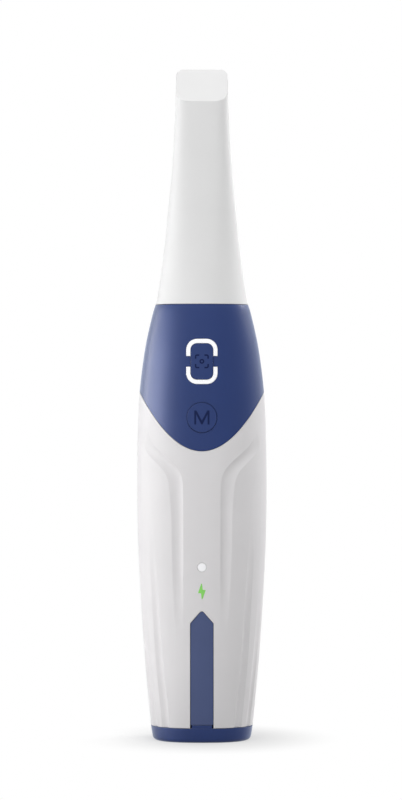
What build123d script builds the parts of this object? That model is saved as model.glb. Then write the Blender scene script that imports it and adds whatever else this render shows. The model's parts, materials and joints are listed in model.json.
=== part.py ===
from build123d import *
import math
import os

# Cordless intraoral scanner, in millimetres
# +Z runs from the base to the tip, the button side faces -Y, and the origin is the centre of the base

# Outer form: height, half width, half depth and squareness of the rounded-oval section
cap_height = 5.1
body_height = 151.6
overall_height = 234.5
skin_squareness = 2.45
body_stations = [
    (0.0, 17.0, 14.5, skin_squareness),
    (cap_height, 17.8, 15.1, skin_squareness),
    (31.0, 20.2, 16.9, skin_squareness),
    (66.0, 22.25, 18.3, skin_squareness),
    (93.5, 22.65, 18.6, skin_squareness),
    (118.5, 21.95, 17.9, skin_squareness),
    (body_height - 17.1, 20.15, 16.4, skin_squareness),
    (body_height - 6.1, 17.95, 14.6, skin_squareness),
    (body_height, 16.2, 13.1, skin_squareness),
]
tip_stations = [
    (body_height, 16.2, 13.1, skin_squareness),
    (body_height + 5.3, 15.15, 12.3, 2.5),
    (body_height + 15.8, 13.65, 11.1, 2.6),
    (body_height + 29.8, 12.1, 9.9, 3.0),
    (body_height + 43.8, 10.75, 9.0, 3.6),
    (body_height + 57.8, 9.75, 8.5, 4.3),
    (body_height + 71.8, 9.15, 8.25, 4.8),
    (overall_height, 8.95, 8.2, 5.0),
]

# Walls and fits
barrel_wall = 2.4
cover_wall = 2.2
tip_wall = 1.7
snout_wall = 1.2
seam_gap = 0.15
slide_clearance = 0.3
fit_clearance = 0.1
bore_squareness = 2.0
base_edge_radius = 1.5

# Seam between the barrel and the nose cover: a parabola seen from the front
tongue_height = 100.8
seam_rise = 21.0
seam_half_width = 22.0

# Grip relief of the barrel: three hollow flutes on each side, front and back
# Each flute: height, half width at its inner border, width and depth
band_half_width = 6.4
grip_depth = 0.65
grip_width = 4.1
flute_depth = 0.65
flute_width = 2.7
edge_depth = 0.55
edge_width = 1.4
no_width = 0.3
grip_flute = [
    (cap_height, band_half_width, 0.6 * grip_width, 0.0),
    (38.0, band_half_width, 0.6 * grip_width, 0.0),
    (46.0, band_half_width, 0.75 * grip_width, 0.3 * grip_depth),
    (54.0, band_half_width, 0.85 * grip_width, 0.65 * grip_depth),
    (66.0, band_half_width, 0.95 * grip_width, grip_depth),
    (78.0, band_half_width, grip_width, grip_depth),
    (88.0, band_half_width + 0.1, 1.15 * grip_width, grip_depth),
    (92.0, band_half_width + 0.5, 1.25 * grip_width, grip_depth),
    (96.0, band_half_width + 3.0, 1.35 * grip_width, grip_depth),
    (100.0, band_half_width + 7.3, 1.25 * grip_width, 0.9 * grip_depth),
    (104.0, band_half_width + 11.1, 0.6 * grip_width, 0.45 * grip_depth),
    (108.0, band_half_width + 12.0, no_width, 0.0),
    (124.0, band_half_width + 11.0, no_width, 0.0),
]
long_flute = [
    (cap_height, 11.0, flute_width, flute_depth),
    (13.4, 11.75, flute_width, flute_depth),
    (27.4, 13.3, 0.95 * flute_width, flute_depth),
    (41.4, 14.3, 0.9 * flute_width, 0.85 * flute_depth),
    (52.0, 15.0, 0.85 * flute_width, 0.6 * flute_depth),
    (62.0, 15.7, 0.8 * flute_width, 0.3 * flute_depth),
    (72.0, 16.4, 0.5 * flute_width, 0.0),
    (86.0, 17.6, no_width, 0.0),
    (96.0, 19.0, no_width, 0.0),
    (104.0, 20.3, no_width, 0.0),
    (124.0, 18.7, no_width, 0.0),
]
edge_flute = [
    (cap_height, 15.2, edge_width, edge_depth),
    (13.4, 16.2, edge_width, edge_depth),
    (27.4, 17.6, edge_width, 0.8 * edge_depth),
    (41.4, 18.8, edge_width, 0.4 * edge_depth),
    (50.0, 19.3, 0.7 * edge_width, 0.0),
    (72.0, 20.2, no_width, 0.0),
    (96.0, 20.7, no_width, 0.0),
    (104.0, 21.0, no_width, 0.0),
    (124.0, 19.8, no_width, 0.0),
]
relief_top = 124.0
relief_spans = 34

# Strip on the front of the barrel
strip_width = 7.8
strip_top = 46.05
strip_shoulder = 41.5
strip_corner = 0.8
strip_bottom = 6.35
strip_recess = 0.2
strip_clearance = 0.15
web_width = 4.0
tab_width = 7.0

# Battery pack
cell_diameter = 18.4
cell_length = 65.0
cap_floor = 3.0
case_wall = 0.8
board_thickness = 1.2
leaf_height = 1.6
plug_depth = 1.5
lid_thickness = 2.5
pad_diameter = 2.4
pad_height = 0.3
pad_pitch = 5.0
spigot_height = 2.2
seal_width = 0.9
seal_height = 1.2
seal_drop = 0.4
crimp_depth = 0.6
crimp_drop = 4.4
cell_end_radius = 3.0
cell_end_height = 0.8
board_hole_radius = 1.5
lid_vent_radius = 1.0
lid_plug_bore = 4.0
leaf_foot_radius = 6.0
leaf_foot_width = 0.6
leaf_head_radius = 2.0
leaf_head_width = 1.0

# Battery bay in the handle
liner_wall = 1.0
pin_diameter = 1.7
pin_tip_diameter = 1.1
pin_reach = 1.2
block_height = 7.4

# Buttons on the nose cover
scan_height = 131.7
scan_width = 7.7
scan_length = 12.4
scan_corner = 2.3
ring_width = 10.7
ring_length = 15.5
ring_corner = 3.8
ring_break = 3.8
mode_height = 112.4
mode_diameter = 10.25
button_gap = 0.12
button_proud = 0.25
ring_proud = 0.12
flange_thickness = 0.9
flange_width = 0.95
plunger_diameter = 3.0
guide_plate_thickness = 1.0
guide_plate_margin = 1.2

# Switch board behind the buttons
switch_board_front = -9.7
switch_board_width = 15.0
switch_size = 6.0
switch_thickness = 1.6
switch_bite = 0.4
switch_travel = 0.8
switch_corner = 0.6
switch_board_low = 103.0
ring_led_x = 6.2
ring_led_z = 5.0
ring_led_size = 1.4
led_thickness = 0.7

# Lamp on the barrel
lamp_height = 60.9
lamp_diameter = 3.0
charge_height = 52.6
pad_offset = 3.5
lens_flange_width = 0.8
lens_flange_thickness = 0.6
lamp_pad_width = 5.0
lamp_pad_height = 2.0
lamp_pad_depth = 1.0
lamp_board_width = 8.0
lamp_led_width = 2.0
lamp_led_height = 1.2

# Optical bench
bench_front = 5.5
bench_thickness = 2.0
bench_width = 26.0
bench_plate = 2.5
bench_drop = 8.1
standoff_height = 1.1
bench_foot_depth = 10.0
bench_top_depth = 11.8
bench_top_margin = 1.5
rib_thickness = 1.2
rib_depth = 2.5
rib_drop = 6.0
post_diameter = 4.0
post_root = 0.5
post_x = 5.0
post_height = 107.0
screw_diameter = 2.0
screw_head_diameter = 3.6
screw_head_height = 1.5
screw_socket_radius = 0.8
screw_stop = 0.4
snout_screw_places = [(-9.6, -6.6), (9.6, -6.6), (0.0, 9.4)]

# Main board
main_board_width = 24.0
main_board_margin = 4.0
main_board_corner = 1.0
board_screw_x = 10.0
board_screw_heights = (94.0, 128.0)
chip_thickness = 1.2
chip_height = 106.0
chip_places = [(0, 0, 13, 13), (-4.2, 12, 6, 7), (4.2, 12, 7, 6)]
spreader_width = 16.0
spreader_length = 24.0
spreader_drop = 8.0
spreader_thickness = 1.2
spreader_corner = 1.5
antenna_width = 8.0
antenna_length = 5.0
antenna_drop = 2.0
antenna_thickness = 0.8
flex_x = 13.4
flex_front_x = 5.5
flex_back_x = 10.5
flex_low = 114.0
flex_width = 8.0
flex_thickness = 0.25
projector_radius = 5.4
projector_length = 27.4
lens_margin = 1.0
lens_edge_radius = 0.9
light_margin = 0.4
camera_spacing = 9.2
camera_width = 6.6
camera_depth = 8.2
camera_length = 15.0
camera_lens_radius = 2.7
camera_lens_wall = 0.9
camera_corner = 0.6

# Snout and tip
snout_length = 61.5
snout_foot = 3.0
window_thickness = 1.5
snout_seal_rise = 2.0
collar_width = 0.35
collar_height = 1.2
slant_drop = 12.3
tip_window_width = 13.0
tip_window_length = 14.0
tip_window_drop = 12.0
tip_corner = 2.6
tip_window_corner = 2.2
mirror_thickness = 1.0

# Reach past a face that a cut has to clear
spare = 1.0
seam_margin = 5.0
wide = 40.0

os.makedirs("parts", exist_ok=True)


# Section and form helpers

def smooth_at(stations, height):
    """Values at one height on a smooth curve through the stations."""
    last = len(stations) - 2
    low = 0
    while low < last and height > stations[low + 1][0]:
        low += 1

    def slope(index, column):
        before = stations[max(index - 1, 0)]
        after = stations[min(index + 1, last + 1)]
        return (after[column] - before[column]) / (after[0] - before[0])

    start, end = stations[low], stations[low + 1]
    span = end[0] - start[0]
    share = (height - start[0]) / span
    values = []
    for column in range(1, len(start)):
        first, second = start[column], end[column]
        leave = slope(low, column) * span
        arrive = slope(low + 1, column) * span
        if share < 0:
            values.append(first + leave * share)
        elif share > 1:
            values.append(second + arrive * (share - 1))
        else:
            rise = share * share * (3 - 2 * share)
            bend = share * (1 - share) ** 2 * leave - share * share * (1 - share) * arrive
            values.append(first + (second - first) * rise + bend)
    return values


def oval_point(angle, half_width, half_depth, squareness):
    """Point of a rounded oval at an angle in degrees."""
    across = math.cos(math.radians(angle))
    along = math.sin(math.radians(angle))
    x = math.copysign(half_width * abs(across) ** (2 / squareness), across)
    y = math.copysign(half_depth * abs(along) ** (2 / squareness), along)
    return x, y


def oval(height, half_width, half_depth, squareness, count=32):
    """Rounded oval on the level plane at a height."""
    with BuildSketch(Plane.XY.offset(height)) as sketch:
        with BuildLine():
            points = [oval_point(360 * i / count, half_width, half_depth, squareness) for i in range(count)]
            Spline(points, periodic=True)
        make_face()
    return sketch.sketch


def form(stations, inset, low, high, steps=12, squareness=None):
    """Solid that follows the stations at a depth under the skin, between two heights."""
    sections = []
    for i in range(steps + 1):
        height = low + (high - low) * i / steps
        half_width, half_depth, square = smooth_at(stations, height)
        sections.append(oval(height, half_width - inset, half_depth - inset, squareness or square))
    with BuildPart() as solid:
        loft(sections)
    return solid.part


def plug(profile, outer_depth, inner_depth, low, high):
    """Profile drawn on the front, between two depths under the skin."""
    with BuildPart() as solid:
        extrude(profile, amount=wide)
        add(form(body_stations, outer_depth, low - spare, high + spare, 5), mode=Mode.INTERSECT)
        add(form(body_stations, inner_depth, low - 2 * spare, high + 2 * spare, 5), mode=Mode.SUBTRACT)
    return solid.part


def seam_prism(shift, above):
    """Everything above or below the nose seam, moved up by a shift."""
    stretch = 1.3
    side = tongue_height + seam_rise * stretch ** 2 + shift
    dip = 2 * (tongue_height + shift) - side
    reach = stretch * seam_half_width
    edge = body_height + wide if above else -wide
    with BuildPart() as solid:
        with BuildSketch(Plane.XZ):
            with BuildLine():
                Bezier((-reach, side), (0, dip), (reach, side))
                Polyline((reach, side), (reach, edge), (-reach, edge), (-reach, side))
            make_face()
        extrude(amount=wide, both=True)
    return solid.part


def rounded_front(width, length, corner, height):
    """Rounded rectangle on the front plane."""
    with BuildSketch(Plane.XZ) as sketch:
        with Locations((0, height)):
            RectangleRounded(width, length, corner)
    return sketch.sketch


def round_front(diameter, height):
    """Circle on the front plane."""
    with BuildSketch(Plane.XZ) as sketch:
        with Locations((0, height)):
            Circle(diameter / 2)
    return sketch.sketch


def strip_outline(margin, bottom):
    """Pointed strip on the front plane."""
    half = strip_width / 2 + margin
    with BuildSketch(Plane.XZ) as sketch:
        with BuildLine():
            Polyline(
                (-half, bottom),
                (half, bottom),
                (half, strip_shoulder + margin / 2),
                (0, strip_top + margin),
                (-half, strip_shoulder + margin / 2),
                close=True,
            )
        make_face()
        fillet(sketch.vertices().sort_by(Axis.Y)[2:], strip_corner + margin)
    return sketch.sketch


def relief_section(height):
    """Barrel section: bands front and back, with hollow flutes between them and the sides."""
    half_width, half_depth, square = smooth_at(body_stations, height)
    flutes = [smooth_at(flute, height) for flute in (grip_flute, long_flute, edge_flute)]

    def skin(x):
        return x, half_depth * (1 - abs(x / half_width) ** square) ** (1 / square)

    def sunk(x, depth):
        place = Vector(*skin(x))
        inner = place * (1 - max(depth, 0) / place.length)
        return inner.X, inner.Y

    shares = [0, 0.25, 0.5, 0.75, 1]
    quarter = []
    for count, (border, width, depth) in enumerate(flutes):
        quarter.append([sunk(border + width * s, 4 * depth * s * (1 - s)) for s in shares])
        if count + 1 < len(flutes):
            ridge = flutes[count + 1][0] - border - width
            quarter.append([skin(border + width + ridge * s) for s in shares])
    last = quarter[-1][-1]
    last_angle = math.degrees(math.acos((last[0] / half_width) ** (square / 2)))
    around = [oval_point(last_angle * i / 6, half_width, half_depth, square) for i in range(-5, 6)]
    side = [(last[0], -last[1])] + around + [last]
    band = flutes[0][0]
    back = [skin(band * (4 - i) / 4) for i in range(9)]

    right_back = [list(reversed(run)) for run in reversed(quarter)]
    right = [[(x, -y) for x, y in run] for run in quarter] + [side] + right_back
    half = right + [back]
    outline = half + [[(-x, -y) for x, y in run] for run in half]
    with BuildSketch(Plane.XY.offset(height)) as sketch:
        with BuildLine():
            for run in outline:
                Spline(run)
        make_face()
    return sketch.sketch


def flat_front(width, low, high):
    """Rectangle on the front plane between two heights."""
    with BuildSketch(Plane.XZ) as sketch:
        with Locations((0, (low + high) / 2)):
            Rectangle(width, high - low)
    return sketch.sketch


def tube(outer, inner, low, high):
    """Round tube between two heights."""
    with BuildPart() as solid:
        with BuildSketch(Plane.XY.offset(low)):
            Circle(outer)
            Circle(inner, mode=Mode.SUBTRACT)
        extrude(amount=high - low)
    return solid.part


def oval_tube(low, length, outer, inner, squareness):
    """Oval ring between two pairs of half sizes."""
    with BuildPart() as solid:
        extrude(oval(low, *outer, squareness), amount=length)
        extrude(oval(low, *inner, squareness), amount=length, mode=Mode.SUBTRACT)
    return solid.part


def post(diameter, x, height, back, front):
    """Round post along Y between two depths."""
    with BuildPart() as solid:
        with BuildSketch(Plane.XZ.offset(-back)):
            with Locations((x, height)):
                Circle(diameter / 2)
        extrude(amount=back - front)
    return solid.part


def block(x_span, y_span, z_span):
    """Plain block between three pairs of limits."""
    with BuildPart() as solid:
        with Locations([Vector(*[sum(span) / 2 for span in (x_span, y_span, z_span)])]):
            Box(*[span[1] - span[0] for span in (x_span, y_span, z_span)])
    return solid.part


# Places that follow from the driving dimensions
barrel_low = cap_height + seam_gap / 2
cap_top = cap_height - seam_gap / 2
relief_step = (relief_top - barrel_low) / relief_spans
case_radius = cell_diameter / 2 + 2 * fit_clearance + case_wall
liner_bore = case_radius + slide_clearance
liner_radius = liner_bore + liner_wall
board_low = cap_floor + fit_clearance
leaf_low = board_low + board_thickness
cell_low = leaf_low + leaf_height
cell_high = cell_low + cell_length
lid_low = cell_high + plug_depth
lid_high = lid_low + lid_thickness
pad_top = lid_high + pad_height
block_low = pad_top + pin_reach
block_high = block_low + block_height
spigot_top = cap_top + spigot_height
bench_low = block_high + fit_clearance
bench_top = body_height - bench_drop
bench_under = bench_top - bench_plate
bench_back = bench_front + bench_thickness
snout_top = bench_top + snout_length
snout_inset = tip_wall + slide_clearance
guide_depth = cover_wall + fit_clearance
scan_flange_depth = guide_depth + guide_plate_thickness + fit_clearance
mode_flange_depth = cover_wall + fit_clearance
switch_board_back = switch_board_front + board_thickness
switch_front = switch_board_front - switch_thickness
main_board_front = bench_back + standoff_height
main_board_back = main_board_front + board_thickness
chip_back = main_board_back + chip_thickness
spigot_oval = [half - barrel_wall - slide_clearance for half in smooth_at(body_stations, cap_height)[:2]]
seal_low = spigot_top - seal_height - seal_drop
seal_seat = [half - seal_width for half in spigot_oval]
web_low = spigot_top + slide_clearance
lamp_board_back = -liner_radius - lamp_pad_depth
lamp_board_front = lamp_board_back - board_thickness
lamp_reach = (lamp_height - 2 * lamp_diameter, lamp_height + 2 * lamp_diameter)
tab_top = strip_bottom - seam_gap
scan_hole = (scan_width + 2 * button_gap, scan_length + 2 * button_gap)
scan_reach = (scan_height - ring_length, min(scan_height + ring_length, body_height - spare))
mode_reach = (mode_height - mode_diameter, mode_height + mode_diameter)
screw_hole = screw_diameter + 2 * fit_clearance
camera_y = bench_front - fit_clearance - camera_depth / 2
snout_oval = [half - snout_inset for half in smooth_at(tip_stations, body_height)[:2]]
snout_seal_low = body_height + snout_seal_rise
snout_seal_oval = [half - snout_inset for half in smooth_at(tip_stations, snout_seal_low + seal_height)[:2]]
collar_low = body_height - cover_wall - fit_clearance - collar_height
window_low = snout_top - window_thickness - fit_clearance
tip_shoulder = overall_height - tip_corner
tip_reach = smooth_at(tip_stations, tip_shoulder)[0] + fit_clearance / 2
tip_window_height = overall_height - tip_window_drop
tip_window_back = tip_stations[-1][2] / 2
slant_plane = Plane(
    origin=(0, -tip_stations[-1][2], overall_height - slant_drop),
    x_dir=(1, 0, 0),
    z_dir=(0, -1, 1),
)

# White barrel with the grip relief, the slot for the strip and the lamp hole
with BuildPart() as handle_barrel:
    loft([relief_section(barrel_low + relief_step * i) for i in range(relief_spans + 1)])
    add(seam_prism(-seam_gap / 2, True), mode=Mode.SUBTRACT)
    bore = form(body_stations, barrel_wall, 0, relief_top + seam_margin, squareness=bore_squareness)
    add(bore, mode=Mode.SUBTRACT)
    extrude(strip_outline(strip_clearance, 0), amount=wide, mode=Mode.SUBTRACT)
    extrude(round_front(lamp_diameter + 2 * fit_clearance, lamp_height), amount=wide, mode=Mode.SUBTRACT)
handle_barrel.part.label = "handle_barrel"
export_step(handle_barrel.part, "parts/handle_barrel.step")

# Dark cap that the scanner stands on, with the spigot that closes the barrel and a tab into the strip's slot
with BuildPart() as base_cap:
    add(form(body_stations, 0, 0, cap_top, 4))
    fillet(base_cap.faces().sort_by(Axis.Z)[0].edges(), base_edge_radius)
    extrude(oval(cap_top, *spigot_oval, bore_squareness), amount=spigot_height)
    with BuildSketch(Plane.XY.offset(cap_floor)):
        Circle(case_radius + fit_clearance)
    extrude(amount=wide, mode=Mode.SUBTRACT)
    add(oval_tube(seal_low, seal_height, (wide, wide), seal_seat, bore_squareness), mode=Mode.SUBTRACT)
    tab = flat_front(tab_width, cap_top - spare, tab_top)
    add(plug(tab, strip_recess, barrel_wall, 0, strip_bottom))
base_cap.part.label = "base_cap"
export_step(base_cap.part, "parts/base_cap.step")

# Seal round the cap's spigot
with BuildPart() as base_seal:
    seal_inner = [half + fit_clearance for half in seal_seat]
    seal_outer = [half + slide_clearance / 2 for half in spigot_oval]
    seal_body = seal_height - 2 * fit_clearance
    add(oval_tube(seal_low + fit_clearance, seal_body, seal_outer, seal_inner, bore_squareness))
base_seal.part.label = "base_seal"
export_step(base_seal.part, "parts/base_seal.step")

# Tube round the cell
with BuildPart() as battery_case:
    add(tube(case_radius, case_radius - case_wall, cap_floor, lid_low))
battery_case.part.label = "battery_case"
export_step(battery_case.part, "parts/battery_case.step")

# Round cell with its crimp and raised end
with BuildPart() as battery_cell:
    radius = cell_diameter / 2
    with BuildSketch(Plane.XZ):
        with BuildLine():
            Polyline(
                (0, cell_low),
                (radius, cell_low),
                (radius, cell_high - crimp_drop - crimp_depth),
                (radius - crimp_depth, cell_high - crimp_drop),
                (radius, cell_high - crimp_drop + crimp_depth),
                (radius, cell_high - cell_end_height),
                (cell_end_radius, cell_high - cell_end_height),
                (cell_end_radius, cell_high),
                (0, cell_high),
                close=True,
            )
        make_face()
    revolve(axis=Axis.Z)
battery_cell.part.label = "battery_cell"
export_step(battery_cell.part, "parts/battery_cell.step")

# Protection board under the cell
with BuildPart() as battery_board:
    add(tube(cell_diameter / 2, board_hole_radius, board_low, leaf_low - fit_clearance / 2))
battery_board.part.label = "battery_board"
export_step(battery_board.part, "parts/battery_board.step")

# Lid of the battery tube, with a plug that centres it
with BuildPart() as battery_top_cap:
    add(tube(case_radius, lid_vent_radius, lid_low, lid_high))
    plug_low = lid_low - plug_depth + fit_clearance
    add(tube(case_radius - case_wall - fit_clearance, lid_plug_bore, plug_low, lid_low))
battery_top_cap.part.label = "battery_top_cap"
export_step(battery_top_cap.part, "parts/battery_top_cap.step")

# Spring leaf under the cell and three pads on the lid
with BuildPart() as battery_contacts:
    with BuildSketch(Plane.XZ):
        with BuildLine():
            leaf_high = cell_low - fit_clearance / 2
            Polyline(
                (leaf_foot_radius, leaf_low),
                (leaf_foot_radius + leaf_foot_width, leaf_low),
                (leaf_head_radius + leaf_head_width, leaf_high),
                (leaf_head_radius, leaf_high),
                close=True,
            )
        make_face()
    revolve(axis=Axis.Z)
    with BuildSketch(Plane.XY.offset(lid_high)):
        with GridLocations(pad_pitch, 0, 3, 1):
            Circle(pad_diameter / 2)
    extrude(amount=pad_height)
battery_contacts.part.label = "battery_contacts"
export_step(battery_contacts.part, "parts/battery_contacts.step")

# Strip on the front and the web that ties it to the battery tube
web = block((-web_width / 2, web_width / 2), (-wide, -case_radius - fit_clearance), (web_low, strip_shoulder))
with BuildPart() as battery_spine:
    add(web)
    add(form(body_stations, barrel_wall / 2, 0, strip_top + spare, 6), mode=Mode.INTERSECT)
    add(plug(strip_outline(0, strip_bottom), strip_recess, barrel_wall, 0, strip_top))
battery_spine.part.label = "battery_spine"
export_step(battery_spine.part, "parts/battery_spine.step")

# Tube in the handle that guides the battery pack, slotted for the web, with pads for the lamp board
with BuildPart() as bay_liner:
    add(tube(liner_radius, liner_bore, spigot_top + slide_clearance, block_high))
    slot_half = web_width / 2 + slide_clearance
    add(block((-slot_half, slot_half), (-wide, 0), (0, strip_shoulder + spare)), mode=Mode.SUBTRACT)
    for height in (lamp_height + pad_offset, charge_height - pad_offset):
        half = lamp_pad_width / 2
        rise = lamp_pad_height / 2
        depths = (lamp_board_back, -liner_bore - liner_wall / 2)
        add(block((-half, half), depths, (height - rise, height + rise)))
bay_liner.part.label = "bay_liner"
export_step(bay_liner.part, "parts/bay_liner.step")

# Block at the top of the bay and its three spring pins
with BuildPart() as contact_block:
    with BuildSketch(Plane.XY.offset(block_low)):
        Circle(liner_bore - fit_clearance)
        with GridLocations(pad_pitch, 0, 3, 1):
            Circle(pin_diameter / 2 + fit_clearance, mode=Mode.SUBTRACT)
    extrude(amount=block_height)
contact_block.part.label = "contact_block"
export_step(contact_block.part, "parts/contact_block.step")

with BuildPart() as spring_contacts:
    with BuildSketch(Plane.XY.offset(block_low)):
        with GridLocations(pad_pitch, 0, 3, 1):
            Circle(pin_diameter / 2)
    extrude(amount=block_height)
    with BuildSketch(Plane.XY.offset(pad_top + fit_clearance)):
        with GridLocations(pad_pitch, 0, 3, 1):
            Circle(pin_tip_diameter / 2)
    extrude(amount=block_low - pad_top)
spring_contacts.part.label = "spring_contacts"
export_step(spring_contacts.part, "parts/spring_contacts.step")

# Lamp lens in the barrel, the board behind it and its two lamps
with BuildPart() as status_lens:
    flange_front = barrel_wall + 2 * fit_clearance
    flange_back = flange_front + lens_flange_thickness
    lens = round_front(lamp_diameter, lamp_height)
    add(plug(lens, 0, flange_back - lens_flange_thickness / 2, *lamp_reach))
    flange = round_front(lamp_diameter + 2 * lens_flange_width, lamp_height)
    add(plug(flange, flange_front, flange_back, *lamp_reach))
status_lens.part.label = "status_lens"
export_step(status_lens.part, "parts/status_lens.step")

with BuildPart() as status_board:
    half = lamp_board_width / 2
    low = charge_height - pad_offset - lamp_pad_height / 2
    high = lamp_height + pad_offset + lamp_pad_height / 2
    add(block((-half, half), (lamp_board_front, lamp_board_back), (low, high)))
status_board.part.label = "status_board"
export_step(status_board.part, "parts/status_board.step")

with BuildPart() as status_leds:
    for height in (lamp_height, charge_height):
        half = lamp_led_width / 2
        rise = lamp_led_height / 2
        depths = (lamp_board_front - led_thickness, lamp_board_front)
        add(block((-half, half), depths, (height - rise, height + rise)))
status_leds.part.label = "status_leds"
export_step(status_leds.part, "parts/status_leds.step")

# Dark cover with the openings for the buttons, the light ring and the snout
with BuildSketch(Plane.XZ) as button_opening:
    with Locations((0, scan_height)):
        RectangleRounded(ring_width + 2 * fit_clearance, ring_length + 2 * fit_clearance, ring_corner)
        Rectangle(wide, ring_break - 2 * fit_clearance, mode=Mode.SUBTRACT)
        RectangleRounded(*scan_hole, scan_corner)
    with Locations((0, mode_height)):
        Circle(mode_diameter / 2 + button_gap)
with BuildPart() as nose_cover:
    add(form(body_stations, 0, tongue_height - seam_margin, body_height - seam_gap / 2))
    add(seam_prism(seam_gap / 2, False), mode=Mode.SUBTRACT)
    inner_low = tongue_height - 2 * seam_margin
    add(form(body_stations, cover_wall, inner_low, body_height - cover_wall), mode=Mode.SUBTRACT)
    snout_hole = [half + fit_clearance for half in snout_oval]
    extrude(oval(bench_top, *snout_hole, skin_squareness), amount=wide, mode=Mode.SUBTRACT)
    extrude(button_opening.sketch, amount=wide, mode=Mode.SUBTRACT)
nose_cover.part.label = "nose_cover"
export_step(nose_cover.part, "parts/nose_cover.step")

# White light ring: two U ridges on a hidden plate
with BuildSketch(Plane.XZ) as ring_outline:
    with Locations((0, scan_height)):
        RectangleRounded(ring_width, ring_length, ring_corner)
        RectangleRounded(*scan_hole, scan_corner, mode=Mode.SUBTRACT)
        Rectangle(wide, ring_break, mode=Mode.SUBTRACT)
with BuildSketch(Plane.XZ) as plate_outline:
    with Locations((0, scan_height)):
        margin = 2 * guide_plate_margin
        RectangleRounded(ring_width + margin, ring_length + margin, ring_corner + guide_plate_margin)
        RectangleRounded(*scan_hole, scan_corner, mode=Mode.SUBTRACT)
with BuildPart() as light_guide:
    add(plug(plate_outline.sketch, guide_depth, guide_depth + guide_plate_thickness, *scan_reach))
    add(plug(ring_outline.sketch, -ring_proud, guide_depth + guide_plate_thickness / 2, *scan_reach))
light_guide.part.label = "light_guide"
export_step(light_guide.part, "parts/light_guide.step")

# Scan button with its flange behind the light ring
with BuildPart() as scan_button:
    core = rounded_front(scan_width, scan_length, scan_corner, scan_height)
    add(plug(core, -button_proud, scan_flange_depth + flange_thickness / 2, *scan_reach))
    rim = 2 * flange_width
    flange = rounded_front(scan_width + rim, scan_length + rim, scan_corner + flange_width, scan_height)
    add(plug(flange, scan_flange_depth, scan_flange_depth + flange_thickness, *scan_reach))
scan_button.part.label = "scan_button"
export_step(scan_button.part, "parts/scan_button.step")

# Round mode button with its flange behind the cover
with BuildPart() as mode_button:
    core = round_front(mode_diameter, mode_height)
    add(plug(core, -button_proud, mode_flange_depth + flange_thickness / 2, *mode_reach))
    flange = round_front(mode_diameter + 2 * flange_width, mode_height)
    add(plug(flange, mode_flange_depth, mode_flange_depth + flange_thickness, *mode_reach))
mode_button.part.label = "mode_button"
export_step(mode_button.part, "parts/mode_button.step")

# Plungers between the buttons and their switches
with BuildPart() as scan_plunger:
    add(post(plunger_diameter, 0, scan_height, switch_front + switch_bite, -wide))
    back = scan_flange_depth + flange_thickness + fit_clearance / 2
    add(form(body_stations, back, *scan_reach, 5), mode=Mode.INTERSECT)
scan_plunger.part.label = "scan_plunger"
export_step(scan_plunger.part, "parts/scan_plunger.step")

with BuildPart() as mode_plunger:
    add(post(plunger_diameter, 0, mode_height, switch_front + switch_bite, -wide))
    back = mode_flange_depth + flange_thickness + fit_clearance / 2
    add(form(body_stations, back, *mode_reach, 5), mode=Mode.INTERSECT)
mode_plunger.part.label = "mode_plunger"
export_step(mode_plunger.part, "parts/mode_plunger.step")

# Board behind the buttons, its switches, ring lamps and ribbon
with BuildPart() as button_board:
    half = switch_board_width / 2
    depths = (switch_board_front, switch_board_back)
    add(block((-half, half), depths, (switch_board_low, bench_under - fit_clearance)))
button_board.part.label = "button_board"
export_step(button_board.part, "parts/button_board.step")


def switch_can(height):
    """Low square switch with a well for its plunger."""
    half = switch_size / 2
    with BuildPart() as solid:
        add(block((-half, half), (switch_front, switch_board_front), (height - half, height + half)))
        fillet(solid.edges().filter_by(Axis.Y), switch_corner)
        well_back = switch_front + switch_bite + switch_travel
        well = post(plunger_diameter + 2 * slide_clearance, 0, height, well_back, switch_front)
        add(well, mode=Mode.SUBTRACT)
    return solid.part


with BuildPart() as scan_switch:
    add(switch_can(scan_height))
scan_switch.part.label = "scan_switch"
export_step(scan_switch.part, "parts/scan_switch.step")

with BuildPart() as mode_switch:
    add(switch_can(mode_height))
mode_switch.part.label = "mode_switch"
export_step(mode_switch.part, "parts/mode_switch.step")

with BuildPart() as ring_leds:
    with Locations(Plane.XZ.offset(-switch_board_front)):
        with Locations((0, scan_height)):
            with GridLocations(2 * ring_led_x, 2 * ring_led_z, 2, 2):
                on_board = (Align.CENTER, Align.CENTER, Align.MIN)
                Box(ring_led_size, ring_led_size, led_thickness, align=on_board)
ring_leds.part.label = "ring_leds"
export_step(ring_leds.part, "parts/ring_leds.step")

with BuildPart() as button_flex:
    with BuildSketch(Plane.XY.offset(flex_low)):
        with BuildLine():
            front = switch_board_back + fit_clearance
            back = main_board_front - fit_clearance
            inner = Polyline((flex_front_x, front), (flex_x, front), (flex_x, back), (flex_back_x, back))
            offset(inner, amount=flex_thickness, side=Side.LEFT)
        make_face()
    extrude(amount=flex_width)
button_flex.part.label = "button_flex"
export_step(button_flex.part, "parts/button_flex.step")

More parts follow.
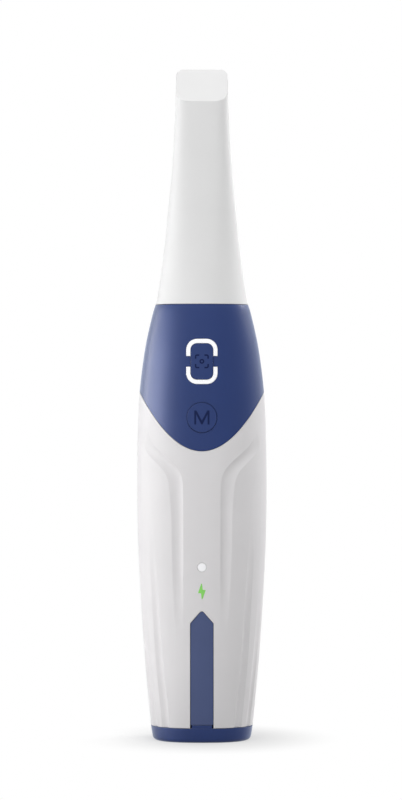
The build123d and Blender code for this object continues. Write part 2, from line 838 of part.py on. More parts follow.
# Optical bench: foot over the battery bay, back plate with ribs, top plate, posts and standoffs
with BuildPart() as chassis:
    half = bench_width / 2
    low = bench_low + bench_plate / 2
    high = bench_under + bench_plate / 2
    extrude(oval(bench_low, half, bench_foot_depth, bore_squareness), amount=bench_plate)
    add(block((-half, half), (bench_front, bench_back), (low, high)))
    for side in (-1, 1):
        rib = sorted((side * half, side * (half - rib_thickness)))
        rib_depths = (bench_front - rib_depth, bench_front + bench_thickness / 2)
        add(block(rib, rib_depths, (low, bench_top - camera_length - rib_drop)))
        add(post(post_diameter, side * post_x, post_height, rib_depths[1], switch_board_back))
        for height in board_screw_heights:
            add(post(post_diameter, side * board_screw_x, height, main_board_front, bench_back - post_root))
    extrude(oval(bench_under, half + bench_top_margin, bench_top_depth, bore_squareness), amount=bench_plate)
    with BuildSketch(Plane.XY.offset(bench_under)):
        Circle(projector_radius - 2 * light_margin)
        with Locations((-camera_spacing, camera_y), (camera_spacing, camera_y)):
            Circle(camera_lens_radius + 2 * fit_clearance)
        with Locations(*snout_screw_places):
            Circle(screw_hole / 2)
    extrude(amount=bench_plate, mode=Mode.SUBTRACT)
    for side in (-1, 1):
        for height in board_screw_heights:
            hole = post(screw_hole, side * board_screw_x, height, wide, bench_front + screw_stop)
            add(hole, mode=Mode.SUBTRACT)
chassis.part.label = "chassis"
export_step(chassis.part, "parts/chassis.step")

# Screws that hold the snout on the bench, from below
with BuildPart() as chassis_screws:
    with BuildSketch(Plane.XY.offset(bench_under - screw_head_height)):
        with Locations(*snout_screw_places):
            Circle(screw_head_diameter / 2)
            RegularPolygon(screw_socket_radius, 6, mode=Mode.SUBTRACT)
    extrude(amount=screw_head_height)
    with BuildSketch(Plane.XY.offset(bench_under - screw_head_height / 3)):
        with Locations(*snout_screw_places):
            Circle(screw_diameter / 2)
    extrude(amount=bench_plate + snout_foot)
chassis_screws.part.label = "chassis_screws"
export_step(chassis_screws.part, "parts/chassis_screws.step")

# Pattern projector, its lens and the two cameras under the top plate
with BuildPart() as projector_module:
    low = bench_under - fit_clearance - projector_length
    waist = low + projector_length / 2
    face = bench_front - fit_clearance
    add(block((-projector_radius, projector_radius), (-projector_radius, face), (low, waist)))
    with BuildSketch(Plane.XY.offset(waist)):
        Circle(projector_radius)
    extrude(amount=projector_length / 2)
projector_module.part.label = "projector_module"
export_step(projector_module.part, "parts/projector_module.step")

with BuildPart() as projector_lens:
    with BuildSketch(Plane.XY.offset(bench_under)):
        Circle(projector_radius - lens_margin)
    extrude(amount=bench_plate - 2 * fit_clearance)
    fillet(projector_lens.edges().sort_by(Axis.Z)[-1], lens_edge_radius)
projector_lens.part.label = "projector_lens"
export_step(projector_lens.part, "parts/projector_lens.step")


def camera(side):
    """Camera body under the top plate with its lens barrel through it."""
    x = side * camera_spacing
    top = bench_under - fit_clearance
    with BuildPart() as solid:
        half = camera_width / 2
        face = bench_front - fit_clearance
        add(block((x - half, x + half), (face - camera_depth, face), (top - camera_length, top)))
        fillet(solid.edges().filter_by(Axis.Z), camera_corner)
        with BuildSketch(Plane.XY.offset(top)):
            with Locations((x, camera_y)):
                Circle(camera_lens_radius)
                Circle(camera_lens_radius - camera_lens_wall, mode=Mode.SUBTRACT)
        extrude(amount=bench_plate)
    return solid.part


with BuildPart() as left_camera:
    add(camera(-1))
left_camera.part.label = "left_camera"
export_step(left_camera.part, "parts/left_camera.step")

with BuildPart() as right_camera:
    add(camera(1))
right_camera.part.label = "right_camera"
export_step(right_camera.part, "parts/right_camera.step")

# Main board on the back of the bench
with BuildPart() as main_board:
    half = main_board_width / 2
    low = board_screw_heights[0] - main_board_margin
    high = board_screw_heights[1] + main_board_margin
    add(block((-half, half), (main_board_front, main_board_back), (low, high)))
    fillet(main_board.edges().filter_by(Axis.Y), main_board_corner)
    for side in (-1, 1):
        for height in board_screw_heights:
            add(post(screw_hole, side * board_screw_x, height, wide, 0), mode=Mode.SUBTRACT)
main_board.part.label = "main_board"
export_step(main_board.part, "parts/main_board.step")

with BuildPart() as board_screws:
    for side in (-1, 1):
        for height in board_screw_heights:
            x = side * board_screw_x
            add(post(screw_head_diameter, x, height, main_board_back + screw_head_height, main_board_back))
            screw_back = main_board_back + screw_head_height / 3
            add(post(screw_diameter, x, height, screw_back, bench_front + screw_stop + fit_clearance))
board_screws.part.label = "board_screws"
export_step(board_screws.part, "parts/board_screws.step")

with BuildPart() as board_chips:
    for x, rise, width, length in chip_places:
        low = chip_height + rise - length / 2
        add(block((x - width / 2, x + width / 2), (main_board_back, chip_back), (low, low + length)))
board_chips.part.label = "board_chips"
export_step(board_chips.part, "parts/board_chips.step")

with BuildPart() as heat_spreader:
    half = spreader_width / 2
    front = chip_back + fit_clearance
    low = chip_height - spreader_drop
    add(block((-half, half), (front, front + spreader_thickness), (low, low + spreader_length)))
    fillet(heat_spreader.edges().filter_by(Axis.Y), spreader_corner)
heat_spreader.part.label = "heat_spreader"
export_step(heat_spreader.part, "parts/heat_spreader.step")

with BuildPart() as wifi_antenna:
    half = antenna_width / 2
    low = board_screw_heights[1] - antenna_drop
    depths = (main_board_back, main_board_back + antenna_thickness)
    add(block((-half, half), depths, (low, low + antenna_length)))
wifi_antenna.part.label = "wifi_antenna"
export_step(wifi_antenna.part, "parts/wifi_antenna.step")

# Snout inside the tip: hollow taper on a foot with the light opening
with BuildPart() as snout:
    extrude(oval(bench_top, *snout_oval, skin_squareness), amount=body_height - bench_top)
    collar_oval = [half + collar_width for half in snout_oval]
    extrude(oval(collar_low, *collar_oval, skin_squareness), amount=collar_height)
    add(form(tip_stations, snout_inset, body_height, snout_top, 8))
    hollow = [half - snout_wall for half in snout_oval]
    floor = bench_top + snout_foot
    extrude(oval(floor, *hollow, skin_squareness), amount=body_height - floor, mode=Mode.SUBTRACT)
    add(form(tip_stations, snout_inset + snout_wall, body_height, snout_top + spare, 8), mode=Mode.SUBTRACT)
    add(form(tip_stations, snout_inset + snout_wall / 2, window_low, snout_top + spare, 2), mode=Mode.SUBTRACT)
    with BuildSketch(Plane.XY.offset(bench_top)):
        light_width = 2 * (camera_spacing + camera_lens_radius + light_margin)
        Rectangle(light_width, 2 * (projector_radius - light_margin))
        with Locations(*snout_screw_places):
            Circle(screw_hole / 2)
    extrude(amount=snout_foot, mode=Mode.SUBTRACT)
    groove = [half - seal_width for half in snout_seal_oval]
    add(oval_tube(snout_seal_low, seal_height, (wide, wide), groove, skin_squareness), mode=Mode.SUBTRACT)
snout.part.label = "snout"
export_step(snout.part, "parts/snout.step")

with BuildPart() as snout_window:
    window_inset = snout_inset + snout_wall / 2 + fit_clearance
    add(form(tip_stations, window_inset, window_low, window_low + window_thickness, 2))
snout_window.part.label = "snout_window"
export_step(snout_window.part, "parts/snout_window.step")

with BuildPart() as snout_seal:
    inner = [half - seal_width + fit_clearance for half in snout_seal_oval]
    outer = [half + slide_clearance / 2 for half in snout_seal_oval]
    add(oval_tube(snout_seal_low + fit_clearance, seal_body, outer, inner, skin_squareness))
snout_seal.part.label = "snout_seal"
export_step(snout_seal.part, "parts/snout_seal.step")

# White tip sleeve with a slanted end and the scan window on its far side
with BuildSketch(Plane.XZ) as tip_front:
    with Locations((0, overall_height - tip_reach)):
        RectangleRounded(2 * tip_reach, 2 * tip_reach, tip_corner)
    with Locations((0, tip_shoulder - overall_height / 2)):
        Rectangle(2 * wide, overall_height)
with BuildPart() as tip_hollow:
    add(form(tip_stations, tip_wall, body_height - spare, overall_height - tip_wall))
    split(bisect_by=slant_plane.offset(-tip_wall), keep=Keep.BOTTOM)
with BuildPart() as tip_sleeve:
    add(form(tip_stations, 0, body_height + seam_gap / 2, overall_height))
    extrude(tip_front.sketch, amount=wide, both=True, mode=Mode.INTERSECT)
    split(bisect_by=slant_plane, keep=Keep.BOTTOM)
    add(tip_hollow.part, mode=Mode.SUBTRACT)
    with BuildSketch(Plane.XZ.offset(-tip_window_back)):
        with Locations((0, tip_window_height)):
            RectangleRounded(tip_window_width, tip_window_length, tip_window_corner)
    extrude(amount=-wide, mode=Mode.SUBTRACT)
tip_sleeve.part.label = "tip_sleeve"
export_step(tip_sleeve.part, "parts/tip_sleeve.step")

# Mirror against the inside of the slanted end
with BuildPart() as tip_mirror:
    mirror_high = overall_height - tip_wall - fit_clearance
    add(form(tip_stations, tip_wall + 2 * fit_clearance, snout_top, mirror_high, 8))
    split(bisect_by=slant_plane.offset(-tip_wall - fit_clearance), keep=Keep.BOTTOM)
    split(bisect_by=slant_plane.offset(-tip_wall - fit_clearance - mirror_thickness), keep=Keep.TOP)
tip_mirror.part.label = "tip_mirror"
export_step(tip_mirror.part, "parts/tip_mirror.step")
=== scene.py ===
import json
import math

import bmesh
import bpy
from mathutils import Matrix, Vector
from mathutils.bvhtree import BVHTree


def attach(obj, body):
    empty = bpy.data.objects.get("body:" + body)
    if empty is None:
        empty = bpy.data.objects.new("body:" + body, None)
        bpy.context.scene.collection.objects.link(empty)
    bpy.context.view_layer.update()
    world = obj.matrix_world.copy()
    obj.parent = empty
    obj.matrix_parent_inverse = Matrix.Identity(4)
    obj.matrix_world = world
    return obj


# Cordless intraoral scanner standing on a white floor, in metres

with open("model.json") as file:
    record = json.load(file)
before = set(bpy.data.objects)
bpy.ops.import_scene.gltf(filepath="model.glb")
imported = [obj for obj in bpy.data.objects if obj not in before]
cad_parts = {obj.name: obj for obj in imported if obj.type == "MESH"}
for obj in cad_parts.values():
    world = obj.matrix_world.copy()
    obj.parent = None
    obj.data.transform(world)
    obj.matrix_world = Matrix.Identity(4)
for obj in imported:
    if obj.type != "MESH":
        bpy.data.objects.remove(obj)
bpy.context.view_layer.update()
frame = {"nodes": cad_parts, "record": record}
nodes = frame["nodes"]
scene = bpy.context.scene
scene.view_settings.view_transform = "Standard"

MM = 0.001

# Camera: level with the middle of the picture, which is 402 by 800 pixels
PICTURE_HEIGHT = 800
PIXEL_SIZE = 0.35 * MM
CAMERA_DISTANCE = 1.0
CAMERA_HEIGHT = 118.4 * MM
CAMERA_SIDE = -0.3 * MM
CAMERA_CLIP = 10 * MM
SENSOR = 36.0

# Room: the side it brightens towards, its strength on the dark and the bright side, and where the change ends
GLOW_SIDE = (-0.35, 0.94, 0.0)
GLOW = (0.5, 0.72)
GLOW_EDGE = 0.8
FULL_WHITE = (1.0, 1.0, 1.0, 1.0)

# Floor: its reach, the pool round the foot that is painted a little darker and takes the real shadow too, and
# painted shade that darkens its colour from the lit to the dim side
FLOOR_HALF = 4.0
FLOOR_ROUGHNESS = 0.9
SHADOW_NEAR = 0.016
SHADOW_FAR = 0.05
SHADOW_SHARE = 0.42
# painted shade: the floor's colour from its lit side to its dim side, and where that change lies
LIT_TONE = 0.95
DIM_TONE = 0.42
LIT_EDGE = -0.045
DIM_EDGE = 0.005

# Signs on the buttons and the barrel: places, and how far they stand out of the surface and reach into it
SCAN_HEIGHT = 131.7 * MM
MODE_HEIGHT = 112.4 * MM
BOLT_HEIGHT = 52.6 * MM
SIGN_RISE = 0.025 * MM
SIGN_DEPTH = 0.15 * MM
BOLT_RISE = 0.06 * MM
BOLT_DEPTH = 0.3 * MM
SIGN_STEP = 0.25 * MM
RAY_START = -0.1

# Letter: its size, and in strokes its top corners, inner corners, notch and middle point
LETTER_WIDTH = 5.2 * MM
LETTER_HEIGHT = 4.8 * MM
LETTER_STROKE = 0.62 * MM
LETTER_TOP = 1.15
LETTER_INNER_DROP = 2.0
LETTER_NOTCH = 2.1
LETTER_POINT = 0.32

# Scan frame: four rounded corners round a small ring
FRAME_SIZE = 4.8 * MM
FRAME_ARM = 1.5 * MM
FRAME_STROKE = 0.5 * MM
FRAME_CORNER = 0.7 * MM
CORNER_STEPS = 6
DOT_OUTER = 0.85 * MM
DOT_INNER = 0.35 * MM
DOT_SIDES = 24

# Charge bolt: its size, and its outline in half widths and half lengths
BOLT_WIDTH = 2.65 * MM
BOLT_LENGTH = 5.3 * MM
BOLT_RIGHT = [(0.02, 1.0), (0.22, 0.2), (1.0, 0.17), (0.16, -1.0)]
BOLT_LEFT = [(-0.06, -1.0), (-0.22, -0.24), (-1.0, -0.22), (-0.18, 1.0)]

# Surfaces: the cloudiness and grain of mouldings, the streaks of metal and the haze of glass
NOISE_LOW = 0.3
NOISE_HIGH = 0.7
CLOUD_SIZE = 14 * MM
CLOUD_DETAIL = 3
GRAIN_DETAIL = 2
GRAIN_DEPTH = 0.1 * MM
GLOSS_RANGE = 0.04
EDGE_SAMPLES = 6
STREAK = (1, 1, 12)
STREAK_DETAIL = 3
STREAK_RANGE = 0.08
HAZE_SIZE = 4 * MM
HAZE_DETAIL = 2
HAZE = (0.01, 0.04)
GLASS_IOR = 1.5

# Colours, linear
WHITE = (0.745, 0.732, 0.742)
TIP_WHITE = (0.785, 0.785, 0.785)
BLUE = (0.0065, 0.028, 0.139)
BLUE_SHEEN = (0.7, 0.8, 1.0, 1.0)
# painted shade: the signs' darker blue stands in for the shade inside engraved strokes
ENGRAVING_SHADE_BLUE = (0.003, 0.0105, 0.06)
STRIP_BLUE = (0.045, 0.069, 0.178)
RING_WHITE = (0.9, 0.9, 0.92)
BOLT_GREEN = (0.24, 0.68, 0.12)
RUBBER_BLACK = (0.025, 0.025, 0.027)
PLASTIC_BLACK = (0.05, 0.05, 0.055)
OPTICS_BLACK = (0.02, 0.02, 0.022)
WRAP_BLUE = (0.06, 0.22, 0.36)
BOARD_GREEN = (0.015, 0.11, 0.045)
LAMP_YELLOW = (0.85, 0.84, 0.72)
GOLD = (0.85, 0.62, 0.26)
ALUMINIUM = (0.62, 0.63, 0.65)
STEEL = (0.5, 0.5, 0.52)
SILVER = (0.92, 0.93, 0.94)
GLASS_TINT = (0.93, 0.96, 0.97)

# Lens finish: its Emission paints a faint glow that makes the ring and the status lens brighter than their
# white
LENS = {
    "colour": RING_WHITE, "roughness": 0.3, "grain": 0.3 * MM, "bump": 0.02, "mottle": 0.01,
    "edge": 0.15 * MM, "Emission_Color": FULL_WHITE,
}
MOULDINGS = {
    "white_shell": {
        "colour": WHITE, "roughness": 0.48, "grain": 0.22 * MM, "bump": 0.04, "mottle": 0.012,
        "edge": 0.3 * MM, "Specular_IOR_Level": 0.1,
    },
    "tip_shell": {
        "colour": TIP_WHITE, "roughness": 0.42, "grain": 0.22 * MM, "bump": 0.03, "mottle": 0.01,
        "edge": 0.3 * MM, "Specular_IOR_Level": 0.05,
    },
    "blue_shell": {
        "colour": BLUE, "roughness": 0.42, "grain": 0.2 * MM, "bump": 0.04, "mottle": 0.03,
        "edge": 0.2 * MM, "IOR": 1.54, "Specular_IOR_Level": 0.32,
        "Sheen_Weight": 0.6, "Sheen_Roughness": 0.4, "Sheen_Tint": BLUE_SHEEN,
    },
    "strip": {
        "colour": STRIP_BLUE, "roughness": 0.6, "grain": 0.18 * MM, "bump": 0.1, "mottle": 0.03,
        "edge": 0.15 * MM,
    },
    # painted light: a faint glow on the ring and on the status lens
    "light_ring": {**LENS, "Emission_Strength": 0.2},
    "lens_white": {**LENS, "Emission_Strength": 0.08},
    # painted shade on the signs, in place of the shade inside engraved strokes
    "sign_ink": {
        "colour": ENGRAVING_SHADE_BLUE, "roughness": 0.6, "grain": 0.15 * MM, "bump": 0.05, "Specular_IOR_Level": 0.12,
    },
    "charge_green": {
        "colour": BOLT_GREEN, "roughness": 0.4, "grain": 0.3 * MM, "bump": 0.02, "mottle": 0.02,
    },
    "seal_rubber": {"colour": RUBBER_BLACK, "roughness": 0.7, "grain": 0.15 * MM, "bump": 0.15},
    "inner_plastic": {"colour": PLASTIC_BLACK, "roughness": 0.5, "grain": 0.2 * MM, "bump": 0.08},
    "cell_wrap": {"colour": WRAP_BLUE, "roughness": 0.3, "grain": 0.5 * MM, "bump": 0.03},
    "board": {"colour": BOARD_GREEN, "roughness": 0.4, "grain": 0.6 * MM, "bump": 0.08, "mottle": 0.2},
    "lamp": {"colour": LAMP_YELLOW, "roughness": 0.35, "grain": 0.3 * MM, "bump": 0.03},
    "optics_body": {"colour": OPTICS_BLACK, "roughness": 0.45, "grain": 0.2 * MM, "bump": 0.06},
    "chip": {"colour": OPTICS_BLACK, "roughness": 0.55, "grain": 0.15 * MM, "bump": 0.08},
}
METALS = {
    "gold_contact": {"colour": GOLD, "roughness": 0.25, "grain": 0.3 * MM},
    "bench_metal": {"colour": ALUMINIUM, "roughness": 0.35, "grain": 0.4 * MM},
    "screw_steel": {"colour": STEEL, "roughness": 0.3, "grain": 0.2 * MM},
    "mirror_glass": {"colour": SILVER, "roughness": 0.1, "grain": 2 * MM},
}
NODE_FINISHES = {"status_lens": "lens_white"}


# Materials

def new_material(name):
    material = bpy.data.materials.new(name)
    material.use_nodes = True
    tree = material.node_tree
    return material, tree, tree.nodes["Principled BSDF"]


def noise(tree, size, detail, place):
    """Noise with features of one size, fixed to the piece."""
    texture = tree.nodes.new("ShaderNodeTexNoise")
    texture.inputs["Scale"].default_value = 1 / size
    texture.inputs["Detail"].default_value = detail
    tree.links.new(place.outputs["Object"], texture.inputs["Vector"])
    return texture


def ramp(tree, source, start, end, low, high, interpolation="SMOOTHSTEP"):
    """A value mapped from one range to another."""
    span = tree.nodes.new("ShaderNodeMapRange")
    span.interpolation_type = interpolation
    span.inputs["From Min"].default_value = start
    span.inputs["From Max"].default_value = end
    span.inputs["To Min"].default_value = low
    span.inputs["To Max"].default_value = high
    tree.links.new(source, span.inputs["Value"])
    return span.outputs["Result"]


def spread(tree, texture, low, high):
    """A noise mapped to a range."""
    return ramp(tree, texture.outputs["Fac"], NOISE_LOW, NOISE_HIGH, low, high, "LINEAR")


def moulded(name, colour, roughness, grain, bump, mottle=0.03, edge=0.0, **sockets):
    """Moulded surface: faint cloudiness in colour, a fine grain in gloss and relief, and softened edges."""
    material, tree, shader = new_material(name)
    place = tree.nodes.new("ShaderNodeTexCoord")
    cloud = noise(tree, CLOUD_SIZE, CLOUD_DETAIL, place)
    tint = tree.nodes.new("ShaderNodeMix")
    tint.data_type = "RGBA"
    tint.inputs[6].default_value = (*[c * (1 - mottle) for c in colour], 1)
    tint.inputs[7].default_value = (*[min(c * (1 + mottle), 1) for c in colour], 1)
    tree.links.new(spread(tree, cloud, 0, 1), tint.inputs["Factor"])
    tree.links.new(tint.outputs[2], shader.inputs["Base Color"])
    fine = noise(tree, grain, GRAIN_DETAIL, place)
    gloss = spread(tree, fine, roughness - GLOSS_RANGE, roughness + GLOSS_RANGE)
    tree.links.new(gloss, shader.inputs["Roughness"])
    relief = tree.nodes.new("ShaderNodeBump")
    relief.inputs["Strength"].default_value = bump
    relief.inputs["Distance"].default_value = GRAIN_DEPTH
    tree.links.new(fine.outputs["Fac"], relief.inputs["Height"])
    if edge:
        soften = tree.nodes.new("ShaderNodeBevel")
        soften.samples = EDGE_SAMPLES
        soften.inputs["Radius"].default_value = edge
        tree.links.new(soften.outputs["Normal"], relief.inputs["Normal"])
    tree.links.new(relief.outputs["Normal"], shader.inputs["Normal"])
    for socket, value in sockets.items():
        shader.inputs[socket.replace("_", " ")].default_value = value
    return material


def metal(name, colour, roughness, grain):
    """Metal with fine directional streaks."""
    material, tree, shader = new_material(name)
    place = tree.nodes.new("ShaderNodeTexCoord")
    streak = tree.nodes.new("ShaderNodeMapping")
    streak.inputs["Scale"].default_value = STREAK
    tree.links.new(place.outputs["Object"], streak.inputs["Vector"])
    lines = noise(tree, grain, STREAK_DETAIL, place)
    tree.links.new(streak.outputs["Vector"], lines.inputs["Vector"])
    gloss = spread(tree, lines, roughness - STREAK_RANGE, roughness + STREAK_RANGE)
    tree.links.new(gloss, shader.inputs["Roughness"])
    shader.inputs["Base Color"].default_value = (*colour, 1)
    shader.inputs["Metallic"].default_value = 1.0
    return material


def clear(name, colour):
    """Polished glass."""
    material, tree, shader = new_material(name)
    shader.inputs["Base Color"].default_value = (*colour, 1)
    shader.inputs["Transmission Weight"].default_value = 1.0
    shader.inputs["IOR"].default_value = GLASS_IOR
    place = tree.nodes.new("ShaderNodeTexCoord")
    haze = noise(tree, HAZE_SIZE, HAZE_DETAIL, place)
    tree.links.new(spread(tree, haze, *HAZE), shader.inputs["Roughness"])
    return material


finishes = {name: moulded(name, **values) for name, values in MOULDINGS.items()}
for name, values in METALS.items():
    finishes[name] = metal(name, **values)
finishes["clear_glass"] = clear("clear_glass", GLASS_TINT)

for part in frame["record"]["subparts"]:
    piece = nodes[part["node"]]
    finish = finishes[NODE_FINISHES.get(part["node"], part["material_slot"])]
    if piece.material_slots:
        for held in piece.material_slots:
            held.material = finish
    else:
        piece.data.materials.append(finish)


# Signs

def front_surface(node):
    """Function that gives the depth of a node's front face at a place on the front plane."""
    mesh = nodes[node].data
    corners = [v.co.copy() for v in mesh.vertices]
    tree = BVHTree.FromPolygons(corners, [p.vertices[:] for p in mesh.polygons])

    def depth(x, z):
        hit = tree.ray_cast(Vector((x, RAY_START, z)), Vector((0, 1, 0)))[0]
        return hit.y
    return depth


def rims(mesh, outline, depth, rise, sink):
    """An outline's corners above the surface, and below it."""
    above = [mesh.verts.new((x, depth(x, z) - rise, z)) for x, z in outline]
    below = [mesh.verts.new((x, depth(x, z) + sink, z)) for x, z in outline]
    return above, below


def prism(mesh, outline, depth, rise, sink):
    """Closed block over an outline, from a height above the surface to one below it."""
    above, below = rims(mesh, outline, depth, rise, sink)
    mesh.faces.new(above)
    mesh.faces.new(below[::-1])
    count = len(outline)
    for i in range(count):
        j = (i + 1) % count
        mesh.faces.new((above[i], below[i], below[j], above[j]))


def ring_prism(mesh, outer, inner, depth, rise, sink):
    """Closed ring between two outlines with the same number of points."""
    above, below = rims(mesh, outer, depth, rise, sink)
    above_in, below_in = rims(mesh, inner, depth, rise, sink)
    count = len(outer)
    for i in range(count):
        j = (i + 1) % count
        mesh.faces.new((above[i], below[i], below[j], above[j]))
        mesh.faces.new((above_in[j], below_in[j], below_in[i], above_in[i]))
        mesh.faces.new((above[j], above_in[j], above_in[i], above[i]))
        mesh.faces.new((below[i], below_in[i], below_in[j], below[j]))


def letter_outline():
    """Outline of the letter M about its centre."""
    half = LETTER_WIDTH / 2
    top = LETTER_HEIGHT / 2
    stroke = LETTER_STROKE
    left = [
        (-half, -top),
        (-half, top),
        (-half + LETTER_TOP * stroke, top),
    ]
    right = [(-x, z) for x, z in reversed(left)]
    under_right = [
        (half - stroke, -top),
        (half - stroke, top - LETTER_INNER_DROP * stroke),
        (LETTER_POINT * stroke, -top),
    ]
    under_left = [(-x, z) for x, z in reversed(under_right)]
    return left + [(0, -top + LETTER_NOTCH * stroke)] + right + under_right + under_left


def bracket_outline(side_x, side_z):
    """One rounded corner of the scan frame."""
    half = FRAME_SIZE / 2
    arm = half - FRAME_ARM
    centre = half - FRAME_CORNER
    turns = [math.radians(90 * i / CORNER_STEPS) for i in range(CORNER_STEPS + 1)]
    inner = FRAME_CORNER - FRAME_STROKE
    bend = [(centre + FRAME_CORNER * math.sin(t), centre + FRAME_CORNER * math.cos(t)) for t in turns]
    back = [(centre + inner * math.sin(t), centre + inner * math.cos(t)) for t in reversed(turns)]
    low_end = [(half, arm), (half - FRAME_STROKE, arm)]
    points = [(arm, half)] + bend + low_end + back + [(arm, half - FRAME_STROKE)]
    return [(side_x * x, side_z * z) for x, z in points]


def circle(radius):
    turns = [2 * math.pi * i / DOT_SIDES for i in range(DOT_SIDES)]
    return [(radius * math.cos(t), radius * math.sin(t)) for t in turns]


def bolt_outline():
    """Charge bolt about its centre."""
    return [(x * BOLT_WIDTH / 2, z * BOLT_LENGTH / 2) for x, z in BOLT_RIGHT + BOLT_LEFT]


def lifted(outline, height):
    return [(x, z + height) for x, z in outline]


def mesh_object(name, build):
    """Object from a function that fills a mesh."""
    mesh = bmesh.new()
    build(mesh)
    bmesh.ops.recalc_face_normals(mesh, faces=mesh.faces)
    bmesh.ops.triangulate(mesh, faces=mesh.faces, quad_method="BEAUTY", ngon_method="BEAUTY")
    data = bpy.data.meshes.new(name)
    mesh.to_mesh(data)
    mesh.free()
    piece = bpy.data.objects.new(name, data)
    scene.collection.objects.link(piece)
    return piece


def finely(outline):
    """The outline with its sides cut into short steps, to follow a rounded face."""
    points = []
    for (x, z), (next_x, next_z) in zip(outline, outline[1:] + outline[:1]):
        steps = math.ceil(math.hypot(next_x - x, next_z - z) / SIGN_STEP)
        points += [(x + (next_x - x) * i / steps, z + (next_z - z) * i / steps) for i in range(steps)]
    return points


def build_letter(mesh):
    depth = front_surface("mode_button")
    prism(mesh, finely(lifted(letter_outline(), MODE_HEIGHT)), depth, SIGN_RISE, SIGN_DEPTH)


def build_frame(mesh):
    depth = front_surface("scan_button")
    for side_x in (-1, 1):
        for side_z in (-1, 1):
            corner = finely(lifted(bracket_outline(side_x, side_z), SCAN_HEIGHT))
            prism(mesh, corner, depth, SIGN_RISE, SIGN_DEPTH)
    outer = lifted(circle(DOT_OUTER), SCAN_HEIGHT)
    inner = lifted(circle(DOT_INNER), SCAN_HEIGHT)
    ring_prism(mesh, outer, inner, depth, SIGN_RISE, SIGN_DEPTH)


def build_bolt(mesh):
    depth = front_surface("handle_barrel")
    prism(mesh, lifted(bolt_outline(), BOLT_HEIGHT), depth, BOLT_RISE, BOLT_DEPTH)


for name, build, body, slot, finish in (
        ("mode_sign", build_letter, "mode_key", "blue_shell", "sign_ink"),
        ("scan_sign", build_frame, "scan_key", "blue_shell", "sign_ink"),
        ("charge_bolt", build_bolt, "handle", "light_ring", "charge_green")):
    sign = mesh_object(name, build)
    sign.data.materials.append(finishes[finish])
    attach(sign, body)


# Floor, lights and camera

def seen_directly(tree):
    """One for the rays that show the white surround itself: to the camera, in gloss and through glass."""
    path = tree.nodes.new("ShaderNodeLightPath")
    shown = path.outputs["Is Camera Ray"]
    for ray in ("Is Glossy Ray", "Is Transmission Ray"):
        either = tree.nodes.new("ShaderNodeMath")
        either.operation = "MAXIMUM"
        tree.links.new(shown, either.inputs[0])
        tree.links.new(path.outputs[ray], either.inputs[1])
        shown = either.outputs[0]
    return shown


def floor_material():
    """White floor: its pool round the foot is painted a little darker and shows the real shadow, and its
    colour is painted darker towards the dim side.
    """
    material, tree, shader = new_material("floor_white")
    shader.inputs["Roughness"].default_value = FLOOR_ROUGHNESS
    shader.inputs["Specular IOR Level"].default_value = 0.0
    glow = tree.nodes.new("ShaderNodeEmission")
    glow.inputs["Strength"].default_value = 1.0
    place = tree.nodes.new("ShaderNodeTexCoord")
    parts = tree.nodes.new("ShaderNodeSeparateXYZ")
    tree.links.new(place.outputs["Object"], parts.inputs[0])
    # painted shade: the floor's colour falls from LIT_TONE on the lit side to DIM_TONE on the dim side
    painted_side_shade = ramp(tree, parts.outputs["X"], LIT_EDGE, DIM_EDGE, LIT_TONE, DIM_TONE)
    tree.links.new(painted_side_shade, shader.inputs["Base Color"])
    reach = tree.nodes.new("ShaderNodeVectorMath")
    reach.operation = "LENGTH"
    tree.links.new(place.outputs["Object"], reach.inputs[0])
    # painted shadow: near the foot less of the floor glows white, so a darker pool lies there, in which the
    # lamps' real shadow also shows
    share = ramp(tree, reach.outputs["Value"], SHADOW_NEAR, SHADOW_FAR, 1 - SHADOW_SHARE, 1.0)
    seen = tree.nodes.new("ShaderNodeMath")
    seen.operation = "MULTIPLY"
    tree.links.new(seen_directly(tree), seen.inputs[0])
    tree.links.new(share, seen.inputs[1])
    blend = tree.nodes.new("ShaderNodeMixShader")
    tree.links.new(seen.outputs[0], blend.inputs["Fac"])
    tree.links.new(shader.outputs[0], blend.inputs[1])
    tree.links.new(glow.outputs[0], blend.inputs[2])
    tree.links.new(blend.outputs[0], tree.nodes["Material Output"].inputs["Surface"])
    return material


def build_floor(mesh):
    sides = ((-1, -1), (1, -1), (1, 1), (-1, 1))
    mesh.faces.new([mesh.verts.new((x * FLOOR_HALF, y * FLOOR_HALF, 0)) for x, y in sides])


floor = mesh_object("floor", build_floor)
floor.data.materials.append(floor_material())


def soft_light(name, place, target, size, power, mirrored=True, lights=True):
    """Soft box aimed at a point: a card shows only in gloss, and a fill shows in none."""
    lamp = bpy.data.lights.new(name, "AREA")
    lamp.shape = "RECTANGLE"
    lamp.size, lamp.size_y = size
    lamp.energy = power
    holder = bpy.data.objects.new(name, lamp)
    holder.location = place
    holder.rotation_euler = (Vector(target) - Vector(place)).to_track_quat("-Z", "Y").to_euler()
    holder.visible_glossy = mirrored
    holder.visible_diffuse = lights
    scene.collection.objects.link(holder)


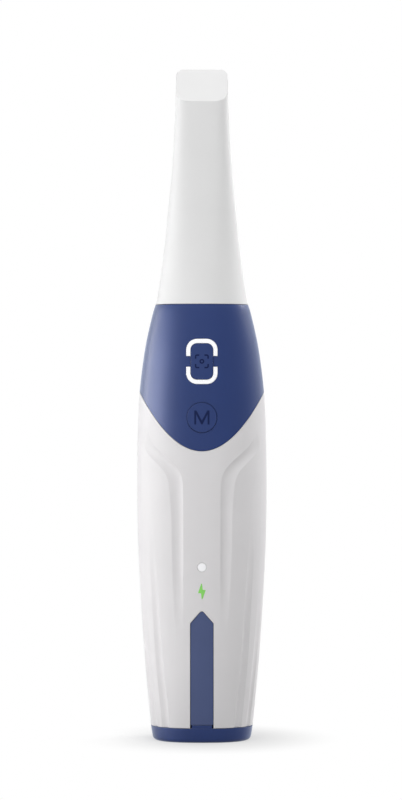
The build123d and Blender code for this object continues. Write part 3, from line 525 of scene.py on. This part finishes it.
GRIP = (0, 0, 0.06)
MIDDLE = (0, 0, 0.13)
NECK = (0, 0, 0.18)
TIP = (0, 0, 0.2)
soft_light("key_left", place=(-0.9, -0.05, 0.06), target=GRIP, size=(0.6, 0.3), power=1.65)
soft_light("left_card", place=(-0.95, -0.02, 0.24), target=MIDDLE, size=(1.3, 0.48), power=15.5, lights=False)
soft_light("front_card", place=(-0.95, -0.6, 0.22), target=MIDDLE, size=(0.7, 0.5), power=5.0, lights=False)
soft_light("front_left", place=(-0.6, -1.0, 0.6), target=MIDDLE, size=(0.9, 0.7), power=2.9, mirrored=False)
soft_light("top", place=(0.0, -0.35, 1.15), target=MIDDLE, size=(0.7, 0.6), power=4.0)
soft_light("right_rim", place=(0.74, 0.4, 0.74), target=TIP, size=(0.4, 0.4), power=3.6)
soft_light("right_card", place=(0.76, 0.38, 0.7), target=TIP, size=(0.5, 0.4), power=1.9, lights=False)
soft_light("right_fill", place=(0.9, 0.3, 0.38), target=NECK, size=(0.5, 0.5), power=2.6, mirrored=False)


def build_world():
    """White backdrop in a room that is brighter on one side."""
    world = bpy.data.worlds.new("studio")
    scene.world = world
    world.use_nodes = True
    tree = world.node_tree
    place = tree.nodes.new("ShaderNodeTexCoord")
    towards = tree.nodes.new("ShaderNodeVectorMath")
    towards.operation = "DOT_PRODUCT"
    towards.inputs[1].default_value = GLOW_SIDE
    tree.links.new(place.outputs["Generated"], towards.inputs[0])
    strength = ramp(tree, towards.outputs["Value"], -GLOW_EDGE, GLOW_EDGE, *GLOW)
    glow = tree.nodes["Background"]
    glow.inputs["Color"].default_value = FULL_WHITE
    tree.links.new(strength, glow.inputs["Strength"])
    seen = tree.nodes.new("ShaderNodeBackground")
    seen.inputs["Color"].default_value = FULL_WHITE
    seen.inputs["Strength"].default_value = 1.0
    blend = tree.nodes.new("ShaderNodeMixShader")
    tree.links.new(seen_directly(tree), blend.inputs["Fac"])
    tree.links.new(glow.outputs[0], blend.inputs[1])
    tree.links.new(seen.outputs[0], blend.inputs[2])
    tree.links.new(blend.outputs[0], tree.nodes["World Output"].inputs["Surface"])


build_world()

view = bpy.data.cameras.new("camera")
view.sensor_width = SENSOR
view.lens = SENSOR * CAMERA_DISTANCE / (PICTURE_HEIGHT * PIXEL_SIZE)
view.clip_start = CAMERA_CLIP
camera = bpy.data.objects.new("camera", view)
camera.location = (CAMERA_SIDE, -CAMERA_DISTANCE, CAMERA_HEIGHT)
camera.rotation_euler = (math.radians(90), 0, 0)
scene.collection.objects.link(camera)
scene.camera = camera
